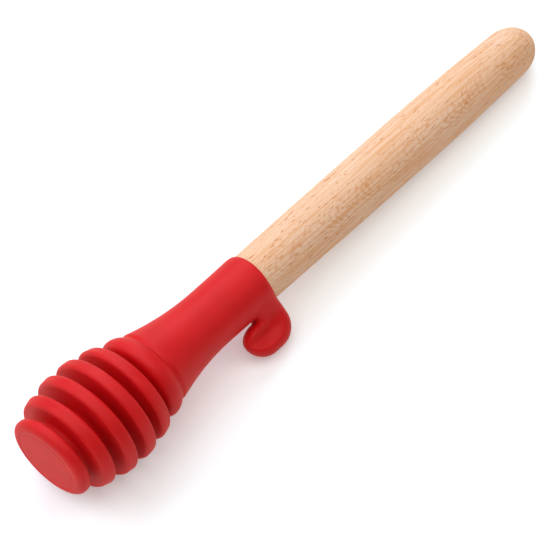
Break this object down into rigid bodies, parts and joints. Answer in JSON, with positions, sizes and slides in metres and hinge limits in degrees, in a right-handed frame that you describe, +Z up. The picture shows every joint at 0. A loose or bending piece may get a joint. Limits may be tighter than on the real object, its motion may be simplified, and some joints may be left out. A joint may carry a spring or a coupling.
{
  "type": "honey dipper",
  "caption": "Honey dipper: barrel-shaped finned silicone head with a hook that hangs on a jar rim, pushed onto the spigot of a round turned beech handle.",
  "frame": {"origin": "on the table, under the middle of the tool's box, with the tool lying on its largest fin, its hook and its butt", "axes": "+X from the head to the butt of the handle, +Z up, the hook on the -Y side"},
  "size_m": [0.2102, 0.0362, 0.0354],
  "materials": {
    "beech": "fine sanded and lightly oiled",
    "red_silicone": "matte moulded silicone"
  },
  "bodies": {
    "handle": {"beech_handle": "beech"},
    "head": {"dipper_head": "red_silicone"}
  },
  "joints": [
    {"name": "head_pull", "type": "slide", "parent": "handle", "child": "head", "axis": [-0.9985, 0, 0.0546], "range_m": [0, 0.075]}
  ]
}
